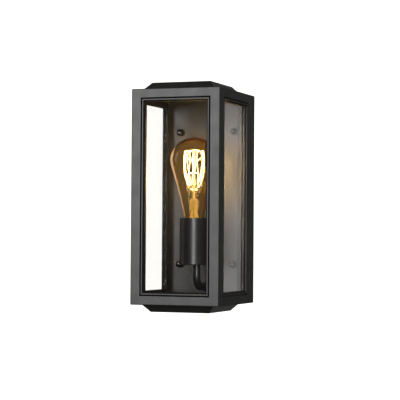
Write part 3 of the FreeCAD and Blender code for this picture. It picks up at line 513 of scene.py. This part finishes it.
def supportHooks(size):  # one wire from a bead to each turn, its end curled round the filament
    lines = []
    for i, corner in enumerate(coilCorners(coil)[1:-1], 1):
        height = stemTop - stem["button"] if i % 2 else glassCrown - stem["lowButton"]
        bead = Vector((lampAxis.x, lampAxis.y, height))
        reach = (corner - bead).normalized()
        lift = (Vector((0, 0, 1)) - reach * reach.z).normalized() * size["eye"]
        past = reach * size["eye"]
        root = [bead + reach * (stem["button"] - size["sunk"]), bead + reach * stem["button"]]
        lines.append(root + [corner + past * x + lift * y for x, y in size["curl"]])
    mesh = wireMesh("support_hooks", lines, size["wire"], 4)
    return pieceFrom("support_hooks", mesh, "bulb", drawnWire, ["filament_hooks"])


supportHooks(hook)

lead = {"wire": 0.4 * mm, "side": 4.0 * mm, "sunk": 1.2 * mm, "straight": 3 * mm,  # side: off the axis
        "knee": (0.45, 2 * mm), "past": 0.6 * mm}  # the knee's share of the way, and its lift


def supplyLeads(size):  # out of the pinch, then up and back to the two ends of the filament
    corners = coilCorners(coil)
    up = Vector((0, 0, 1))
    share, lift = size["knee"]
    lines = []
    for side, end in ((-1, corners[0]), (1, corners[-1])):
        root = Vector((lampAxis.x + side * size["side"], lampAxis.y, cupTop + stem["pinchRise"]))
        lines.append([root - up * size["sunk"], root + up * size["straight"],
                      root.lerp(end, share) + up * lift,
                      end - up * size["straight"], end + up * size["past"]])
    mesh = wireMesh("supply_leads", lines, size["wire"], 8)
    return pieceFrom("supply_leads", mesh, "bulb", drawnWire, ["lead_wires"])


supplyLeads(lead)

thread = {
    "pitch": 3.629 * mm, "depth": 0.95 * mm, "wall": 0.3 * mm, "clearance": 0.4 * mm,
    "plainFoot": 1.0 * mm, "plainTop": 5.0 * mm, "stepsPerTurn": 48, "rowsPerPitch": 12}


def threadRadius(size, crest, turn, height):  # rolled thread: a rounded wave that winds upwards
    low, high = capFoot + size["plainFoot"], capTop - size["plainTop"]
    wave = math.cos(2 * math.pi * (height - low) / size["pitch"] - turn)
    run = min(max((height - low) / size["pitch"], 0.0), max((high - height) / size["pitch"], 0.0), 1.0)
    return crest - size["depth"] * run * (0.5 - 0.5 * wave)


def rolledThread(name, size, crest, low, high):  # a threaded sleeve with its wall inside the crest
    bm = bmesh.new()
    rows = round((high - low) / size["pitch"] * size["rowsPerPitch"])
    turns = [2 * math.pi * step / size["stepsPerTurn"] for step in range(size["stepsPerTurn"])]
    skins = []
    for wall in (0.0, size["wall"]):
        skin = []
        for row in range(rows + 1):
            height = low + (high - low) * row / rows
            ring = []
            for turn in turns:
                radius = threadRadius(size, crest, turn, height) - wall
                ring.append(bm.verts.new((lampAxis.x + radius * math.cos(turn),
                                          lampAxis.y + radius * math.sin(turn), height)))
            skin.append(ring)
        skins.append(skin)
    outer, inner = skins
    return skinnedMesh(name, bm, outer + inner[::-1] + outer[:1])


def lampCap(size):
    mesh = rolledThread("threaded_lamp_cap", size, capRadius, capFoot, capTop)
    return pieceFrom("threaded_lamp_cap", mesh, "bulb", nickelPlate, ["bulb_cap"])


lampCap(thread)


def screwShell(size):  # rolled to the same pitch and in step, so that the lamp screws through it
    low, high = (corner.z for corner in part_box("screw_shell"))
    crest = capRadius + size["clearance"] + size["wall"]
    mesh = rolledThread("threaded_screw_shell", size, crest, low, high)
    return pieceFrom("threaded_screw_shell", mesh, "wall_side", stampedBrass, ["screw_shell"])


screwShell(thread)
print("lamp made")

camera = {"azimuth": 20.76, "elevation": -1.45, "roll": 0.4, "distance": 2.068,
          "target": Vector((-0.018, 0.0, -0.0008)), "lens": 133.56}


def directionTo(azimuth, elevation):  # from the lantern out to a camera or a light, angles in degrees
    turn, rise = math.radians(azimuth), math.radians(elevation)
    return Vector((math.sin(turn) * math.cos(rise), -math.cos(turn) * math.cos(rise), math.sin(rise)))


def placeCamera(view):
    back = directionTo(view["azimuth"], view["elevation"])
    roll = math.radians(view["roll"])
    right = (-back).cross(Vector((0, 0, 1))).normalized()
    up = right.cross(-back)
    turnedRight = right * math.cos(roll) + up * math.sin(roll)
    turnedUp = up * math.cos(roll) - right * math.sin(roll)
    data = bpy.data.cameras.new("studioCamera")
    data.lens = view["lens"]
    data.sensor_width = 36
    data.clip_start = 0.1
    data.clip_end = 60
    camObject = bpy.data.objects.new("studioCamera", data)
    bpy.context.scene.collection.objects.link(camObject)
    place = Matrix((turnedRight, turnedUp, back)).transposed().to_4x4()
    place.translation = view["target"] + back * view["distance"]
    camObject.matrix_world = place
    bpy.context.scene.camera = camObject


placeCamera(camera)

lanternCentre = (Vector(cadBounds[0]) + Vector(cadBounds[1])) / 2
panes = ("front_glass", "left_glass", "right_glass")
darkRims = ("left_glazing_frame", "left_glazing_seal", "left_glazing_bead", "front_glazing_seal",
            "front_glazing_bead", "right_glazing_seal", "right_glazing_bead")

softboxes = {  # azimuth and elevation in degrees, distance and size in metres, power in watts
    "frontSoftbox": {"azimuth": -20, "elevation": 8, "distance": 2.2, "size": (0.8, 0.95), "power": 34,
                     "misses": panes + holderPieces + darkRims + ("bulb_envelope", "glass_stem")},
    "leftSoftbox": {"azimuth": -82, "elevation": 10, "distance": 1.8, "size": (0.5, 1.2), "power": 2.0},
    "rightStrip": {"azimuth": 70, "elevation": 28, "distance": 2.0, "size": (0.25, 1.2), "power": 6},
    "rearCard": {"azimuth": 159, "elevation": 5, "distance": 2.0, "size": (0.2, 0.9), "power": 0.23},
    "cameraStrip": {"azimuth": 21, "elevation": 3, "distance": 2.3, "size": (0.3, 1.2), "power": 12},
    "holderStrip": {"azimuth": 21, "elevation": 3, "distance": 2.3, "size": (0.22, 1.2), "power": 34,
                    "only": holderPieces},
    "wallBounce": {"azimuth": 180, "elevation": 0, "distance": 2.2, "size": (0.6, 2.4), "power": 1.2,
                   "only": ("top_cap", "bottom_cap")},
    "windowCard": {"azimuth": -128, "elevation": 0, "distance": 2.0, "size": (1.5, 1.4), "power": 14,
                   "colour": "#ffeec4", "only": ("bulb_envelope",)}}


def addLight(name, kind, setup):  # its power and colour, and flags that keep it off some pieces or on a few
    data = bpy.data.lights.new(name, kind)
    data.energy = setup["power"]
    data.color = linear(setup.get("colour", "#ffffff"))[:3]
    light = bpy.data.objects.new(name, data)
    bpy.context.scene.collection.objects.link(light)
    for rule, state in (("only", "INCLUDE"), ("misses", "EXCLUDE")):
        if rule in setup:
            flagged = bpy.data.collections.new(name + "Flags")
            for piece in setup[rule]:
                flagged.objects.link(bpy.data.objects[piece])
            light.light_linking.receiver_collection = flagged
            for member in flagged.collection_objects:
                member.light_linking.link_state = state
    return light


def placeSoftboxes(setups):
    for name, setup in setups.items():
        away = directionTo(setup["azimuth"], setup["elevation"])
        light = addLight(name, "AREA", setup)
        light.data.shape = "RECTANGLE"
        light.data.size, light.data.size_y = setup["size"]
        light.location = lanternCentre + away * setup["distance"]
        light.rotation_euler = away.to_track_quat("Z", "Y").to_euler()
        light.visible_camera = False


placeSoftboxes(softboxes)

glows = {  # the filament's light on dull faces, its shine on glossy ones, and what the stem's glass takes up
    "lampGlow": {"power": 0.36, "colour": "#ffdfa4", "size": 12 * mm, "ahead": 0.0, "drop": 0.0,
                 "shine": False},
    "lampShine": {"power": 2.3, "colour": "#ffdc9c", "size": 14 * mm, "ahead": 0.0, "drop": 0.0,
                  "shine": True, "misses": ("left_glazing_frame", "left_glazing_seal", "left_glazing_bead")},
    "stemGlow": {"power": 2.6, "colour": "#ffffff", "size": 20 * mm, "ahead": 34 * mm, "drop": 40 * mm,
                 "shine": False, "only": ("glass_stem",)}}


def lampLight(setups):
    for name, setup in setups.items():
        light = addLight(name, "POINT", setup)
        light.data.shadow_soft_size = setup["size"]
        light.visible_glossy = setup["shine"]
        light.visible_diffuse = not setup["shine"]
        light.location = middle("filament") - Vector((0, setup["ahead"], setup["drop"]))
        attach(light, "bulb")


lampLight(glows)

surroundings = {"colour": "#fffdf8", "seen": 1.42, "front": 0.05, "behind": 0.1}


def paleSurroundings(look):  # a pale wall's glow from behind, a dim room in front, and white to the eye
    world = bpy.data.worlds.new("paleStudio")
    world.use_nodes = True
    tree = world.node_tree
    tree.nodes.clear()
    direction = addNode(tree, "TexCoord").outputs["Generated"]
    depth = addNode(tree, "SeparateXYZ", links={"Vector": direction}).outputs["Y"]
    glow = addNode(tree, "MapRange", {"From Min": 0.0, "From Max": 0.5, "To Min": look["front"],
                                      "To Max": look["behind"]}, {"Value": depth}).outputs[0]
    seen = addNode(tree, "LightPath").outputs["Is Camera Ray"]
    level = addNode(tree, "MapRange", {"To Max": look["seen"]}, {"Value": seen, "To Min": glow}).outputs[0]
    back = addNode(tree, "Background", {"Color": linear(look["colour"])}, {"Strength": level})
    addNode(tree, "OutputWorld", links={"Surface": back.outputs[0]})
    bpy.context.scene.world = world


paleSurroundings(surroundings)

floorSetup = {"half": 3.0, "height": -0.6, "paint": "#f7f6f3",  # flat white paint, sizes in metres
              "wash": {"power": 4.6, "only": ("paleFloor",)}, "washSpread": 80}


def paleFloor(setup):
    mesh = bpy.data.meshes.new("paleFloor")
    bm = bmesh.new()
    bmesh.ops.create_grid(bm, x_segments=1, y_segments=1, size=setup["half"])
    bm.to_mesh(mesh)
    bm.free()
    material, tree = newMaterial("whitePaintedFloor")
    surface = addNode(tree, "BsdfPrincipled", {"Base Color": linear(setup["paint"]), "Roughness": 0.9})
    finishMaterial(tree, surface.outputs[0])
    mesh.materials.append(material)
    floor = bpy.data.objects.new("paleFloor", mesh)
    floor.location = (0, 0, setup["height"])
    floor.visible_diffuse = False
    floor.visible_glossy = False
    bpy.context.scene.collection.objects.link(floor)
    wash = addLight("floorWash", "SUN", setup["wash"])  # makes the floor as bright as the wall behind
    wash.data.angle = math.radians(setup["washSpread"])


paleFloor(floorSetup)
bpy.context.scene.view_settings.view_transform = "Standard"
print("studio set up")
